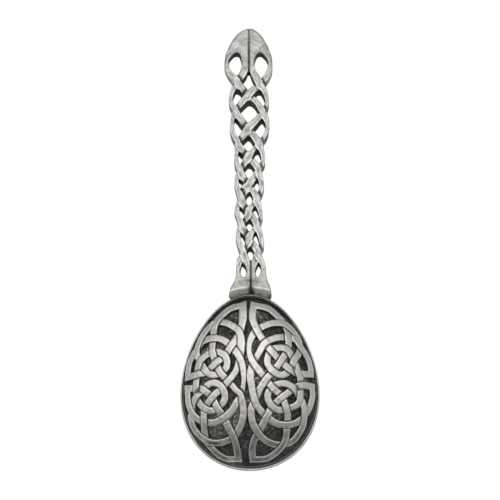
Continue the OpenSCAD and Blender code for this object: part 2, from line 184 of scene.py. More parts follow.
def movePoints(piece, points):
    piece.data.vertices.foreach_set("co", points.astype(np.float32).ravel())
    piece.data.update()


def finishPiece(piece, wearAndShade, node, finish, angle):
    faceOutwards(piece.data)
    # the attribute holds wear, and also painted shade on the straps, the plait and the collar's foot
    layer = piece.data.attributes.new("wearAndShade", "FLOAT", "POINT")
    layer.data.foreach_set("value", np.asarray(wearAndShade, np.float32))
    selectOnly(piece)
    bpy.ops.object.shade_smooth_by_angle(angle=math.radians(angle))
    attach(piece, "root")
    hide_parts(node)
    piece.data.materials.append(pewters[finish])
    print(piece.name, len(piece.data.vertices), "points")


deselectAll()

# Pewter: one node group for every piece, a worn top over a dark patina, mixed by a mask that holds wear
# and, in places, painted shade. Its scales and depths go by metres
patina = {
    "broadScale": 140,
    "patchScale": 650,
    "fineScale": 2600,
    "fineMottle": 0.9,
    "broadMottle": 0.25,
    "warmth": 0.8,
    "warmTint": (1.0, 0.965, 0.9, 1),
    "dullness": 0.3,          # how much rougher the dark patina is than a worn top
    "fineRough": 0.18,
    "wornMetal": 0.45,        # how much more metallic a worn top is
    "fineDents": 0.45,
    "dentDepth": 0.00025,
    "stippleScale": 2300,
    "stippleDepth": 0.0002,
}

finishes = {
    "strapPewter": {
        "Bright": (0.79, 0.78, 0.76, 1), "Dark": (0.02, 0.02, 0.022, 1),
        "Mottle": 0.3, "Polish": 0.34, "Dents": 0.25},
    "groundPewter": {
        "Bright": (0.55, 0.54, 0.52, 1), "Dark": (0.022, 0.022, 0.024, 1),
        "Mottle": 0.35, "Polish": 0.42, "Dents": 0.3, "Stipple": 1.0},
    "rimPewter": {
        "Bright": (0.82, 0.82, 0.8, 1), "Dark": (0.03, 0.03, 0.032, 1),
        "Mottle": 0.3, "Polish": 0.36, "Dents": 0.2},
    "plaitPewter": {
        "Bright": (0.82, 0.82, 0.8, 1), "Dark": (0.018, 0.018, 0.02, 1),
        "Mottle": 0.55, "Polish": 0.36, "Dents": 0.3},
    "finialPewter": {
        "Bright": (0.72, 0.72, 0.7, 1), "Dark": (0.02, 0.02, 0.022, 1),
        "Mottle": 0.6, "Polish": 0.38, "Dents": 0.35},
    "collarPewter": {
        "Bright": (0.76, 0.76, 0.72, 1), "Dark": (0.03, 0.03, 0.03, 1),
        "Mottle": 0.38, "Polish": 0.38, "Dents": 0.35, "Metal": 0.1},
}


def linkNodes(tree, pairs):
    for source, target in pairs:
        tree.links.new(source, target)


def maths(tree, operation, a, b, c=None, clamp=False):
    node = tree.nodes.new("ShaderNodeMath")
    node.operation = operation
    node.use_clamp = clamp
    for i, value in enumerate((a, b, c)):
        if isinstance(value, (int, float)):
            node.inputs[i].default_value = value
        elif value is not None:
            tree.links.new(value, node.inputs[i])
    return node.outputs[0]


def noiseAt(tree, place, scale, detail, rough=0.55):
    node = tree.nodes.new("ShaderNodeTexNoise")
    node.inputs["Scale"].default_value = scale
    node.inputs["Detail"].default_value = detail
    node.inputs["Roughness"].default_value = rough
    tree.links.new(place.outputs["Object"], node.inputs["Vector"])
    return node.outputs["Fac"]


def colourMix(tree, blend, factor, a):
    node = tree.nodes.new("ShaderNodeMix")
    node.data_type = "RGBA"
    node.blend_type = blend
    linkNodes(tree, [(factor, node.inputs["Factor"]), (a, node.inputs["A"])])
    return node


def bump(tree, depth, height, strength):
    node = tree.nodes.new("ShaderNodeBump")
    node.inputs["Distance"].default_value = depth
    linkNodes(tree, [(height, node.inputs["Height"]), (strength, node.inputs["Strength"])])
    return node


def makeFinishGroup():
    group = bpy.data.node_groups.new("antiquePewter", "ShaderNodeTree")
    colour, number, direction = "NodeSocketColor", "NodeSocketFloat", "NodeSocketVector"
    wanted = [("WearAndShade", number, 0.5), ("Bright", colour, (0.7, 0.7, 0.7, 1)),
              ("Dark", colour, (0.03, 0.03, 0.03, 1)), ("Mottle", number, 0.3), ("Polish", number, 0.35),
              ("Dents", number, 0.2), ("Stipple", number, 0.0), ("Metal", number, 0.4)]
    for name, kind, value in wanted:
        socket = group.interface.new_socket(name, in_out="INPUT", socket_type=kind)
        socket.default_value = value
    results = [("Colour", colour), ("Roughness", number), ("Metallic", number), ("Normal", direction)]
    for name, kind in results:
        group.interface.new_socket(name, in_out="OUTPUT", socket_type=kind)
    given = group.nodes.new("NodeGroupInput").outputs
    made = group.nodes.new("NodeGroupOutput").inputs
    place = group.nodes.new("ShaderNodeTexCoord")
    broad = noiseAt(group, place, patina["broadScale"], 2)
    patches = noiseAt(group, place, patina["patchScale"], 3)
    fine = noiseAt(group, place, patina["fineScale"], 3, 0.65)
    broadLevel, patchLevel, fineLevel = (maths(group, "SUBTRACT", n, 0.5) for n in (broad, patches, fine))
    fineMottle = maths(group, "MULTIPLY", given["Mottle"], patina["fineMottle"])
    mask = maths(group, "MULTIPLY_ADD", patchLevel, given["Mottle"], given["WearAndShade"])
    mask = maths(group, "MULTIPLY_ADD", fineLevel, fineMottle, mask)
    mask = maths(group, "MULTIPLY_ADD", broadLevel, patina["broadMottle"], mask, True)
    worn = colourMix(group, "MIX", mask, given["Dark"])
    group.links.new(given["Bright"], worn.inputs["B"])
    warmth = maths(group, "MULTIPLY", broad, patina["warmth"])
    warm = colourMix(group, "MULTIPLY", warmth, worn.outputs["Result"])
    warm.inputs["B"].default_value = patina["warmTint"]
    dark = maths(group, "SUBTRACT", 1.0, mask)
    rough = maths(group, "MULTIPLY_ADD", dark, patina["dullness"], given["Polish"])
    rough = maths(group, "MULTIPLY_ADD", fineLevel, patina["fineRough"], rough, True)
    metal = maths(group, "MULTIPLY_ADD", mask, patina["wornMetal"], given["Metal"], True)
    dents = maths(group, "MULTIPLY_ADD", fine, patina["fineDents"], patches)
    dented = bump(group, patina["dentDepth"], dents, given["Dents"])
    cells = group.nodes.new("ShaderNodeTexVoronoi")
    cells.inputs["Scale"].default_value = patina["stippleScale"]
    stippled = bump(group, patina["stippleDepth"], cells.outputs["Distance"], given["Stipple"])
    linkNodes(group, [
        (place.outputs["Object"], cells.inputs["Vector"]),
        (dented.outputs["Normal"], stippled.inputs["Normal"]),
        (warm.outputs["Result"], made["Colour"]), (rough, made["Roughness"]), (metal, made["Metallic"]),
        (stippled.outputs["Normal"], made["Normal"])])
    return group


finishGroup = makeFinishGroup()


def makePewter(name, look):
    material = bpy.data.materials.new(name)
    material.use_nodes = True
    nodes = material.node_tree.nodes
    shader = nodes["Principled BSDF"].inputs
    coat = nodes.new("ShaderNodeGroup")
    coat.node_tree = finishGroup
    worn = nodes.new("ShaderNodeAttribute")
    worn.attribute_name = "wearAndShade"
    for key, value in look.items():
        coat.inputs[key].default_value = value
    linkNodes(material.node_tree, [
        (worn.outputs["Fac"], coat.inputs["WearAndShade"]), (coat.outputs["Colour"], shader["Base Color"]),
        (coat.outputs["Roughness"], shader["Roughness"]), (coat.outputs["Metallic"], shader["Metallic"]),
        (coat.outputs["Normal"], shader["Normal"])])
    return material


pewters = {name: makePewter(name, look) for name, look in finishes.items()}
print("materials ready")


# Bowl shell: a sphere whose upper half becomes the stippled back and whose lower half becomes the hollow
def makeShell():
    bpy.ops.mesh.primitive_uv_sphere_add(segments=bowl["segments"], ring_count=bowl["rings"], radius=1)
    piece = bpy.context.active_object
    piece.name = "bowlBody"
    ball = np.array([v.co for v in piece.data.vertices])
    radius = np.sqrt(np.clip(1 - ball[:, 2] ** 2, 0, 1))
    turn = np.arctan2(ball[:, 0], ball[:, 1])
    upper = ball[:, 2] >= -1e-6
    inner = 1 - bowl["wall"] / (bowl["halfWidth"] * bowl["edgeShare"])
    share = radius * bowl["edgeShare"] * np.where(upper, 1, inner)
    shareY = share * np.cos(turn)
    backHeight = bowl["height"] * np.maximum(0, 1 - share ** 2) ** bowl["backPower"]
    hollowHeight = (bowl["height"] - bowl["wall"]) * np.maximum(0, 1 - radius ** 2) ** bowl["hollowPower"]
    z = np.where(upper, backHeight, hollowHeight)
    z[np.abs(ball[:, 2]) < 1e-6] = bowl["edgeHeight"]
    points = np.stack([baseWidth(shareY) * share * np.sin(turn), shareY * bowl["length"] / 2, z], 1)
    stipple = grain(points, bowl["stipplePitch"])
    stippled = smoothStep(*bowl["stippleEdge"], radius) * upper
    points[:, 2] += stippled * bowl["stippleDepth"] * stipple
    rubbed = np.clip(grain(points, bowl["patchSize"], 3.1) * 2, 0, 1)
    ground, moreGround = bowl["groundWear"]
    tops, moreTops = bowl["stippleWear"]
    backWear = ground + moreGround * rubbed + (tops + moreTops * rubbed) * np.clip(stipple, 0, 1) * stippled
    movePoints(piece, laid(points))
    wearAndShade = np.where(upper, backWear, bowl["hollowWear"])
    finishPiece(piece, wearAndShade, "bowl_shell", "groundPewter", 60)


makeShell()

# Rim: a torus drawn out to the bowl's outline, with a bead, a flat band and a flange under the shell's edge
rim = {
    "turns": 256,
    "width": 1.25,        # at the sides
    "tipWidth": 1.9,
    "collarRise": 0.18,   # the bead stands out in front of the collar's foot
    # share of the width from the edge, share of the height, wear
    "section": [
        (0.0, 0.0, 0.3), (0.0, 0.6, 0.5), (0.03, 0.84, 0.8), (0.11, 0.95, 0.9), (0.22, 1.0, 0.95),
        (0.36, 1.0, 0.9), (0.46, 0.94, 0.6), (0.53, 0.8, 0.12), (0.6, 0.76, 0.12), (0.72, 0.79, 0.4),
        (0.88, 0.74, 0.34), (0.97, 0.62, 0.06), (1.1, 0.5, 0.0), (1.45, 0.45, 0.0), (1.45, 0.0, 0.0)],
}


def makeRim():
    section = np.array(rim["section"])
    bpy.ops.mesh.primitive_torus_add(
        major_segments=rim["turns"], minor_segments=len(section), major_radius=1, minor_radius=0.1)
    piece = bpy.context.active_object
    piece.name = "bowlRim"
    turn = np.repeat(np.arange(rim["turns"]) * 2 * math.pi / rim["turns"], len(section))
    inwards, tall, wearAndShade = np.tile(section, (rim["turns"], 1)).T
    width = rim["width"] + (rim["tipWidth"] - rim["width"]) * smoothStep(0.2, 1.0, -np.cos(turn))
    halfSpan = np.where(np.abs(np.cos(turn)) > 0.7, bowl["length"] / 2, bowl["halfWidth"])
    share = 1 - inwards * width / halfSpan
    v = share * np.cos(turn)
    swell = 1 + rim["collarRise"] * smoothStep(0.93, 0.995, np.cos(turn)) * smoothStep(0.4, 0.9, tall)
    points = np.stack([baseWidth(v) * share * np.sin(turn), v * bowl["length"] / 2,
                       tall * bowl["rimHeight"] * swell], 1)
    overTable = (points[:, 1] + bowl["length"] / 2) * tiltSin + points[:, 2] * tiltCos - bowl["restFlat"]
    points += np.maximum(0, -overTable)[:, None] * np.array([0, tiltSin, tiltCos])
    movePoints(piece, laid(points))
    finishPiece(piece, wearAndShade, "bowl_rim", "rimPewter", 50)


makeRim()

# Knots: each panel is one endless cord. A number in a route is a crossing, a pair is a bend, and the widths
# give a place where the strap is wider or narrower, and by how much
leftKnot = {
    "name": "knotLeft",
    "node": "knot_cord_left",
    "firstOver": False,
    "crossings": [
        (-3.4, 16.5), (-6.3, 12.1), (-8.3, 9.0), (-11.3, 6.6), (-14.4, 3.7), (-17.5, 2.7), (-17.5, 11.2),
        (-12.2, 14.7), (-12.4, 10.0), (-9.8, 3.4), (-7.2, 0.6), (-3.4, 8.3), (-3.0, -4.0), (-15.2, -12.9),
        (-14.4, -19.2), (-11.1, 20.0), (-17.8, -1.9), (-8.6, -11.5), (-19.2, -9.8), (-15.5, -2.2),
        (-10.8, -8.2), (-5.4, -18.0), (-14.9, -8.5), (-9.2, -1.6), (-12.6, -4.9), (-16.5, 7.0),
        (-17.7, -4.6)],
    "corners": [
        (-2.3, 25.7), (-3.8, -25.3), (-20.6, 1.8), (-20.8, -2.0)],
    "route": [
        (-2.3, 25.7), (-2.4, 21.0), 0, (-4.8, 14.2), 1, 2, 3, 4, 5, (-20.6, 1.8), (-20.4, 4.8),
        (-19.5, 7.8), 6, (-15.4, 13.7), 7, (-9.2, 14.3), 1, 11, (-2.3, 4.8), (-2.1, 0.5), 12,
        (-4.5, -6.5), (-6.0, -9.2), 17, (-11.8, -13.1), 13, (-17.3, -12.0), 18, (-20.4, -6.8),
        (-20.8, -2.0), (-19.4, -1.9), 16, 19, 24, 20, 17, (-7.2, -14.6), 21, (-4.3, -22.0), (-3.8, -25.3),
        (-8.0, -25.1), (-11.5, -22.9), 14, (-15.1, -15.8), 13, (-15.3, -10.8), 22, 24, 23, 10,
        (-4.8, 3.8), 11, (-3.0, 11.0), (-2.9, 13.6), 0, (-5.0, 18.3), (-7.8, 19.7), 15, (-13.8, 18.0),
        (-16.1, 14.8), 6, (-17.5, 9.0), 25, 4, (-12.4, 2.6), 9, (-7.9, 5.0), (-7.6, 7.0), 2,
        (-10.2, 10.1), 8, (-14.7, 9.0), 25, (-17.3, 4.8), 5, (-17.8, 0.5), 16, 26, (-16.7, -6.8), 22,
        (-12.8, -9.2), 20, (-8.7, -6.3), (-8.3, -4.0), 23, (-10.8, -0.2), (-13.1, -0.2), 19, 26,
        (-18.9, -7.1), 18, (-19.6, -12.0), (-18.0, -16.0), 14, (-11.0, -19.9), (-8.0, -19.3), 21,
        (-3.9, -15.8), (-2.6, -12.6), (-2.2, -9.0), 12, (-4.8, -2.2), 10, 9, 3, 8, (-12.4, 12.4), 7,
        (-12.0, 17.4), 15, (-9.3, 22.2), (-6.4, 24.5)],
    "widths": [
        (-2.35, 22.5, 0.45), (-2.2, 0.5, -0.6), (-2.6, 5.5, -0.2), (-3.1, 13.0, 0.3), (-2.4, -2.5, -0.4),
        (-6.5, -11.5, 0.3)],
}
rightKnot = {
    "name": "knotRight",
    "node": "knot_cord_right",
    "firstOver": True,
    "crossings": [
        (2.3, 17.5), (5.0, 13.2), (6.9, 10.7), (10.2, 7.2), (13.4, 4.3), (16.1, 3.0), (16.7, 11.9),
        (12.5, 15.0), (12.4, 10.9), (7.7, 3.8), (5.3, 1.2), (1.1, 6.7), (1.6, -5.9), (12.3, -13.9),
        (11.0, -20.4), (11.3, 19.4), (16.6, -0.9), (5.6, -11.1), (18.0, -11.0), (14.6, -1.9), (7.4, -7.8),
        (2.7, -16.5), (12.0, -8.6), (7.3, -1.5), (10.6, -4.7), (14.5, 7.3), (16.6, -5.1)],
    "corners": [
        (1.25, 25.7), (1.0, -25.4), (20.2, 2.8), (20.6, -1.4)],
    "route": [
        (1.25, 25.7), (0.85, 21.4), 0, (3.6, 15.3), 1, 2, 3, 4, 5, (20.2, 2.8), (20.0, 5.4), (19.0, 8.4),
        6, (15.0, 14.2), 7, (8.6, 14.8), 1, (3.0, 10.0), 11, (0.2, 3.3), (0.4, -0.2), 12, (3.3, -8.8), 17,
        (8.5, -13.3), 13, (15.5, -13.1), 18, (19.7, -8.2), (20.7, -4.8), (20.6, -1.4), (18.6, -0.9), 16,
        19, 24, 20, 17, (4.2, -13.8), 21, (1.2, -19.4), (0.7, -22.6), (1.0, -25.4), (5.4, -25.1),
        (8.7, -23.0), 14, (12.0, -17.4), 13, (12.5, -11.3), 22, 24, 23, 10, (3.3, 3.7), 11, (-0.2, 9.7),
        (-0.2, 12.8), (0.8, 15.6), 0, (5.4, 19.1), (8.4, 19.8), 15, (13.9, 17.4), (15.9, 14.7), 6,
        (16.1, 9.6), 25, 4, (10.5, 2.6), 9, (5.9, 6.2), (5.9, 8.6), 2, (9.4, 11.6), 8, 25, 5, (16.7, 1.0),
        16, 26, (15.3, -7.4), 22, (9.6, -9.0), 20, (6.0, -5.5), (6.0, -3.4), 23, (9.2, -0.4),
        (12.0, -0.3), 19, 26, (17.8, -7.8), 18, (17.3, -14.8), (14.4, -19.0), 14, (7.6, -20.2),
        (4.8, -18.8), 21, (1.2, -14.0), (0.5, -11.2), (0.5, -8.4), 12, (3.0, -2.5), 10, 9, 3, 8,
        (12.8, 13.0), 7, (12.4, 17.2), 15, (9.4, 21.7), (6.0, 24.5)],
    "widths": [
        (0.9, 22.5, 0.2), (-0.6, 11.0, -0.6), (0.4, 2.0, 0.2), (4.5, -14.5, 0.3)],
}
strap = {
    "width": 2.3,
    "height": 1.2,
    "rise": 0.1,           # how much a strap rises where it passes over another
    "underHeight": 0.72,
    "ramp": 0.42,          # length over which it dips
    "reach": 5,            # how far from a crossing the other strap is looked for
    "spacing": 0.2,
    "unevenEdge": 0.09,    # the carver's hand
    "unevenTop": 0.07,
    "underWear": 0.15,     # what is left of the wear where a strap is under another
    "tipShade": 0.52,       # painted shade: strap tops darker towards the tip, where the dome turns away from the light
    # where along the bowl that painted shade starts, and where it is full
    "tipShadeSpan": (-9, -21),
    # side offset as a share of the half width, height as a share of the strap's height, wear
    "section": [
        (-1.07, -0.35, 0.0), (-1.04, 0.3, 0.02), (-1.01, 0.7, 0.14), (-0.95, 0.93, 0.75),
        (-0.84, 1.0, 1.0), (-0.42, 1.02, 0.93), (0.0, 1.0, 0.9), (0.42, 1.02, 0.93), (0.84, 1.0, 1.0),
        (0.95, 0.93, 0.75), (1.01, 0.7, 0.14), (1.04, 0.3, 0.02), (1.07, -0.35, 0.0)],
}


def denseLoop(points, corners, spacing):
    count = len(points)
    out, starts, cornerAt = [], [], []
    for i in range(count):
        a, b, c, d = (points[(i + k) % count] for k in (-1, 0, 1, 2))
        a = 2 * b - c if i in corners else a
        d = 2 * c - b if (i + 1) % count in corners else d
        steps = max(2, math.ceil(np.linalg.norm(c - b) / spacing))
        starts.append(len(out))
        if i in corners:
            cornerAt.append(len(out))
        out.extend(curvePoint(a, b, c, d, k / steps) for k in range(steps))
    return np.array(out), starts, cornerAt


def widthAt(x, y, marks):
    return sum(change * np.exp(-((x - mx) ** 2 + (y - my) ** 2) / 9) for mx, my, change in marks)


def knotLine(knot):
    crossings = [np.array(c) for c in knot["crossings"]]
    points = [crossings[e] if isinstance(e, int) else np.array(e) for e in knot["route"]]
    corners = [i for i, e in enumerate(knot["route"]) if e in knot["corners"]]
    seen, starts, cornerAt = denseLoop(points, corners, strap["spacing"])
    flat = seen.copy()
    for _ in range(4):  # the strap's top is drawn as it is seen from the front, over its place on the back
        flat = seen - strap["height"] * backNormal(flat[:, 0], flat[:, 1])[:, :2]
    line = np.column_stack([flat, backZ(flat[:, 0], flat[:, 1])])
    return seen, line, backNormal(flat[:, 0], flat[:, 1]), starts, cornerAt


def strapBase(knot, seen, line, up, cornerAt):
    before = unitRows(line - np.roll(line, 1, axis=0))
    after = unitRows(np.roll(line, -1, axis=0) - line)
    ahead = unitRows(before + after)
    side = unitRows(np.cross(up, ahead))
    stretch = np.ones(len(line))
    for c in cornerAt:
        stretch[c] = 1 / max(0.3, abs(before[c] @ ahead[c]))
    across = np.array(strap["section"])[:, 0]
    half = strap["width"] / 2 + widthAt(seen[:, 0], seen[:, 1], knot["widths"]) / 2
    leftHalf = half + strap["unevenEdge"] * grain(line, 1.7, 4.0)
    rightHalf = half + strap["unevenEdge"] * grain(line, 1.7, 9.0)
    eachHalf = np.where(across < 0, leftHalf[:, None], rightHalf[:, None])
    base = line[:, None, :] + side[:, None, :] * (across * eachHalf * stretch[:, None])[:, :, None]
    for c in cornerAt:  # near a corner the inner edge stops at the mitre
        for k in (*range(-14, 0), *range(1, 15)):
            i = (c + k) % len(line)
            way = 1 if k < 0 else -1
            direction = before[c] if k < 0 else after[c]
            move = np.maximum((base[i] - line[c]) @ ahead[c] * way, 0) / max(0.2, direction @ ahead[c])
            base[i] -= direction * (move * way)[:, None]
    return base


def strapLevels(knot, line, base, starts):
    count, around = base.shape[:2]
    free, swell = np.ones((count, around)), np.zeros((count, around))
    half = strap["width"] / 2
    reach = int(strap["reach"] / strap["spacing"])
    passes = [(starts[i], e) for i, e in enumerate(knot["route"]) if isinstance(e, int)]
    for n, (at, crossing) in enumerate(passes):
        other = next(a for m, (a, c) in enumerate(passes) if c == crossing and m != n)
        otherLine = line[[(other + k) % count for k in range(-reach, reach + 1)]]
        rows = [(at + k) % count for k in range(-reach, reach + 1)]
        distance = nearLine(base[rows].reshape(-1, 3), otherLine).reshape(len(rows), around)
        if (n % 2 == 0) == knot["firstOver"]:
            swell[rows] = np.maximum(swell[rows], 1 - smoothStep(half * 0.7, half + 1, distance))
        else:
            free[rows] = np.minimum(free[rows], smoothStep(half - 0.04, half + strap["ramp"], distance))
    return free, swell


def makeKnot(knot):
    seen, line, up, starts, cornerAt = knotLine(knot)
    base = strapBase(knot, seen, line, up, cornerAt)
    free, swell = strapLevels(knot, line, base, starts)
    across, tall, worn = np.array(strap["section"]).T
    low = strap["underHeight"] / strap["height"]
    height = tall * strap["height"]
    height = np.where(height > 0, height * (low + (1 - low) * free), height)
    height = height + swell * strap["rise"] * (tall > 0.5)
    feet = base.reshape(-1, 3)
    height = height + strap["unevenTop"] * grain(feet, 1.3, 7.0).reshape(free.shape) * (tall > 0.9)
    wearAndShade = worn * (strap["underWear"] + (1 - strap["underWear"]) * free ** 1.2)
    patches = 1 + grain(feet, 2.4, 6.0).reshape(free.shape)
    # painted shade: the middles of the strap tops are darkened towards the tip, where the dome faces away
    # from the light; the edges keep their worn brightness
    tipShaded = smoothStep(*strap["tipShadeSpan"], base[:, :, 1]) * (np.abs(across) < 0.7)
    wearAndShade -= strap["tipShade"] * tipShaded * patches
    solid = base + up[:, None, :] * height[:, :, None]
    piece = addMesh(knot["name"], laid(solid.reshape(-1, 3)), tubeFaces(*free.shape, True))
    finishPiece(piece, wearAndShade.ravel(), knot["node"], "strapPewter", 55)


makeKnot(leftKnot)
makeKnot(rightKnot)

# Plait: each strand's distance along the handle, offset from its middle and width. A place that two strands
# share is a crossing
plait = {
    "strands": [
        [
            (79.99, -7.76, 1.42), (78.93, -7.55, 1.62), (77.92, -7.1, 1.8), (76.91, -6.5, 1.95),
            (75.29, -5.2, 2.36), (73.87, -4.22, 2.48), (71.25, -2.15, 2.3), (69.33, -0.54, 2.2),
            (66.81, 2.2, 1.85), (63.48, 4.17, 2.1), (61.16, 5.22, 2.1), (58.54, 5.77, 1.2),
            (55.21, 4.95, 1.4), (52.34, 2.87, 1.4), (50.17, 1.3, 1.35), (47.56, -0.55, 2.75),
            (44.74, -2.1, 2.0), (42.73, -3.25, 1.8), (40.41, -4.2, 1.4), (38.1, -4.4, 1.5),
            (35.29, -3.8, 1.6), (32.47, -2.8, 2.35), (30.26, -1.95, 2.35), (28.36, -0.45, 2.3),
            (25.34, 1.35, 2.1), (23.34, 2.22, 2.2), (20.53, 3.2, 1.9), (17.62, 3.8, 1.6),
            (15.82, 3.7, 1.6), (13.91, 2.55, 1.6), (11.4, 1.45, 1.7), (10.3, 1.6, 2.1), (9.4, 1.42, 1.75),
            (8.5, 1.28, 1.4), (7.6, 1.15, 1.25)],
        [
            (79.99, -1.62, 2.0), (78.72, -1.8, 2.4), (77.61, -2.05, 2.5), (76.65, -2.5, 2.5),
            (75.84, -3.1, 2.46), (73.87, -4.22, 2.4), (71.35, -5.6, 1.6), (68.52, -6.37, 1.27),
            (66.3, -6.1, 1.45), (64.08, -4.85, 1.8), (61.26, -3.3, 2.15), (57.53, -0.6, 2.2),
            (54.4, 1.6, 2.4), (52.34, 2.87, 2.6), (49.67, 3.85, 1.75), (47.15, 4.33, 1.35),
            (45.14, 4.0, 1.6), (42.83, 2.7, 1.5), (40.2, 1.3, 1.9), (38.9, 0.45, 2.4), (37.7, -0.4, 2.4),
            (36.9, -1.15, 2.95), (36.1, -1.6, 3.2), (35.0, -2.05, 2.8), (33.8, -2.35, 2.1),
            (32.47, -2.8, 1.7), (30.56, -4.1, 1.4), (28.46, -4.32, 1.65), (26.05, -3.72, 1.45),
            (23.44, -2.78, 2.1), (21.53, -1.85, 2.35), (18.72, -0.35, 2.3), (16.02, 1.45, 2.2),
            (13.91, 2.55, 2.45), (11.51, 3.4, 2.05), (10.3, 3.95, 1.85), (9.4, 4.25, 1.65),
            (8.5, 4.4, 1.6), (7.6, 4.45, 1.65)],
        [
            (79.99, 0.62, 1.8), (78.72, 0.75, 2.0), (77.61, 1.05, 2.1), (76.65, 1.42, 2.2),
            (75.74, 1.98, 2.45), (74.78, 2.35, 2.4), (73.37, 3.18, 2.45), (70.84, 4.75, 1.85),
            (68.02, 5.6, 1.28), (65.8, 5.4, 1.4), (63.48, 4.17, 1.8), (60.75, 2.35, 2.05),
            (57.53, -0.6, 2.75), (55.21, -2.05, 2.4), (52.64, -4.03, 1.9), (49.47, -4.4, 1.2),
            (46.95, -4.6, 1.3), (44.94, -4.15, 1.7), (42.73, -3.25, 2.0), (40.31, -2.2, 2.3),
            (37.7, -0.4, 2.1), (34.68, 1.4, 2.05), (32.57, 2.2, 2.4), (30.26, 2.85, 1.9),
            (27.65, 3.5, 1.4), (25.55, 3.35, 1.4), (23.34, 2.22, 1.4), (21.43, 0.95, 1.4),
            (18.72, -0.35, 2.4), (16.32, -0.85, 1.7), (13.71, -2.2, 1.5), (11.51, -3.6, 1.4),
            (10.6, -3.5, 1.85), (9.6, -3.7, 1.75), (8.6, -3.8, 1.55), (7.6, -3.85, 1.5)],
        [
            (79.99, 6.7, 1.55), (78.93, 6.58, 1.72), (77.61, 6.25, 1.85), (76.4, 5.7, 2.0),
            (74.93, 4.7, 2.06), (73.37, 3.18, 2.2), (71.55, 1.45, 2.35), (69.33, -0.54, 2.6),
            (66.6, -2.8, 2.1), (64.08, -4.85, 1.9), (61.26, -5.75, 1.3), (58.23, -5.95, 1.4),
            (55.71, -5.5, 1.55), (52.64, -4.03, 1.65), (50.17, -2.6, 2.0), (47.56, -0.55, 2.2),
            (44.64, 1.85, 2.2), (42.83, 2.7, 2.15), (40.11, 3.4, 1.8), (37.7, 3.8, 1.65),
            (35.08, 3.45, 1.6), (32.57, 2.2, 1.6), (30.66, 0.95, 1.3), (28.36, -0.45, 2.35),
            (26.05, -1.15, 1.9), (23.44, -2.78, 1.6), (21.33, -3.8, 1.4), (19.02, -3.88, 1.62),
            (16.22, -3.1, 1.8), (13.71, -2.2, 2.1), (11.41, -1.45, 2.45), (10.3, -1.12, 2.2),
            (9.5, -0.8, 1.65), (8.6, -0.65, 1.4), (7.6, -0.6, 1.25)],
    ],
    "spacing": 0.16,
    "reach": 4,                    # how far from a crossing the other strand is looked for
    "firstOver": (0, 2),           # the strands that pass over at their first crossing
    "ramp": (1.1, 0.55),           # how far it slopes before it goes under another, and after
    "dip": (0.42, 0.4),            # share of the half thickness dipped where it disappears, and comes out
    "dipShade": (0.86, 0.95),         # painted shade on the strand where it dips under another, before and after
    # how far that painted shade reaches, before and after
    "dipShadeRamp": (1.5, 0.75),
    "fillet": (0.25, 0.5),         # the corners above and below a crossing
    "bevel": 0.5,
    "bowlDive": (0.45, 1.35),      # how deep its end dives at the bowl, and over what length
    "finialDive": (0.4, 0.75),
    "deeper": 1.1,                 # the walls of the openings are taller towards the finial
    "deeperFrom": (36, 52),
    "deeperTo": (72, 78),
    "brushedWear": 0.55,
    "stripedWear": 0.5,
    "flankWear": 0.34,
    # side offset as a share of the half width, depth from the face as a share of the bevel, wear
    "section": [
        (-1.0, 2.6, 0.02), (-1.0, 1.15, 0.1), (-0.985, 0.5, 0.72), (-0.91, 0.1, 1.0), (-0.72, 0.0, 0.92),
        (-0.4, 0.06, 0.76), (0.0, 0.1, 0.72), (0.4, 0.06, 0.76), (0.72, 0.0, 0.92), (0.91, 0.1, 1.0),
        (0.985, 0.5, 0.72), (1.0, 1.15, 0.1), (1.0, 2.6, 0.02)],
}


def denseLine(points, spacing):
    out, starts = [], []
    last = len(points) - 1
    for i in range(last):
        a, b, c, d = points[max(0, i - 1)], points[i], points[i + 1], points[min(last, i + 2)]
        steps = max(2, math.ceil(np.linalg.norm(c - b) / spacing))
        starts.append(len(out))
        out.extend(curvePoint(a, b, c, d, k / steps) for k in range(steps))
    starts.append(len(out))
    out.append(points[last])
    return np.array(out), starts


strandLines = [denseLine([np.array((x, u, width)) for u, x, width in keys], plait["spacing"])
               for keys in plait["strands"]]

# The handle's outer edges, whose sides are rubbed
edgeU = np.arange(7.5, 80, 0.4)
reached = np.concatenate([line for line, starts in strandLines])
atEdge = [np.abs(reached[:, 1] - u) < 0.45 for u in edgeU]
leftEdge = np.array([np.min(reached[at, 0] - reached[at, 2] / 2) for at in atEdge])
rightEdge = np.array([np.max(reached[at, 0] + reached[at, 2] / 2) for at in atEdge])


def metBy(number):  # for each crossing the strand's row, the other's line and row there, and half its width
    met = []
    for at, key in zip(strandLines[number][1], plait["strands"][number]):
        for other, keys in enumerate(plait["strands"]):
            places = [k[:2] for k in keys]
            if other != number and key[:2] in places:
                place = places.index(key[:2])
                line, starts = strandLines[other]
                met.append((at, line[:, :2], starts[place], keys[place][2] / 2))
                break
    return met


def strandFlat(number):
    line = strandLines[number][0]
    ahead = unitRows(np.gradient(line[:, :2], axis=0))
    side = np.stack([ahead[:, 1], -ahead[:, 0]], 1)
    across = np.array(plait["section"])[:, 0]
    flat = line[:, None, :2] + side[:, None, :] * (across[None, :, None] * line[:, 2][:, None, None] / 2)
    reach = int(plait["reach"] / plait["spacing"])
    crossed = []
    for at, other, middle, half in metBy(number):
        first = max(0, middle - reach)
        rows = np.arange(max(0, at - reach), min(len(line), at + reach))
        otherAhead = other[middle + 1] - other[middle - 1]
        turned = np.sign(ahead[at, 0] * otherAhead[1] - ahead[at, 1] * otherAhead[0])
        above = (plait["fillet"][0], other[first:middle + 1], rows[rows < at], turned)
        below = (plait["fillet"][1], other[middle:middle + reach], rows[rows > at], -turned)
        for size, part, mine, edge in (above, below):
            columns = np.where(across * edge > 0)[0]
            outer = columns[-1] if edge > 0 else columns[0]
            gap = nearLine(flat[mine, outer], part)
            extra = size * (1 - smoothStep(half - 0.1, half + 0.75, gap))
            outwards = across[columns][None, :, None] * extra[:, None, None]
            flat[mine[:, None], columns] += side[mine][:, None, :] * outwards
        crossed.append((at, rows, other[first:middle + reach], half))
    return flat, crossed


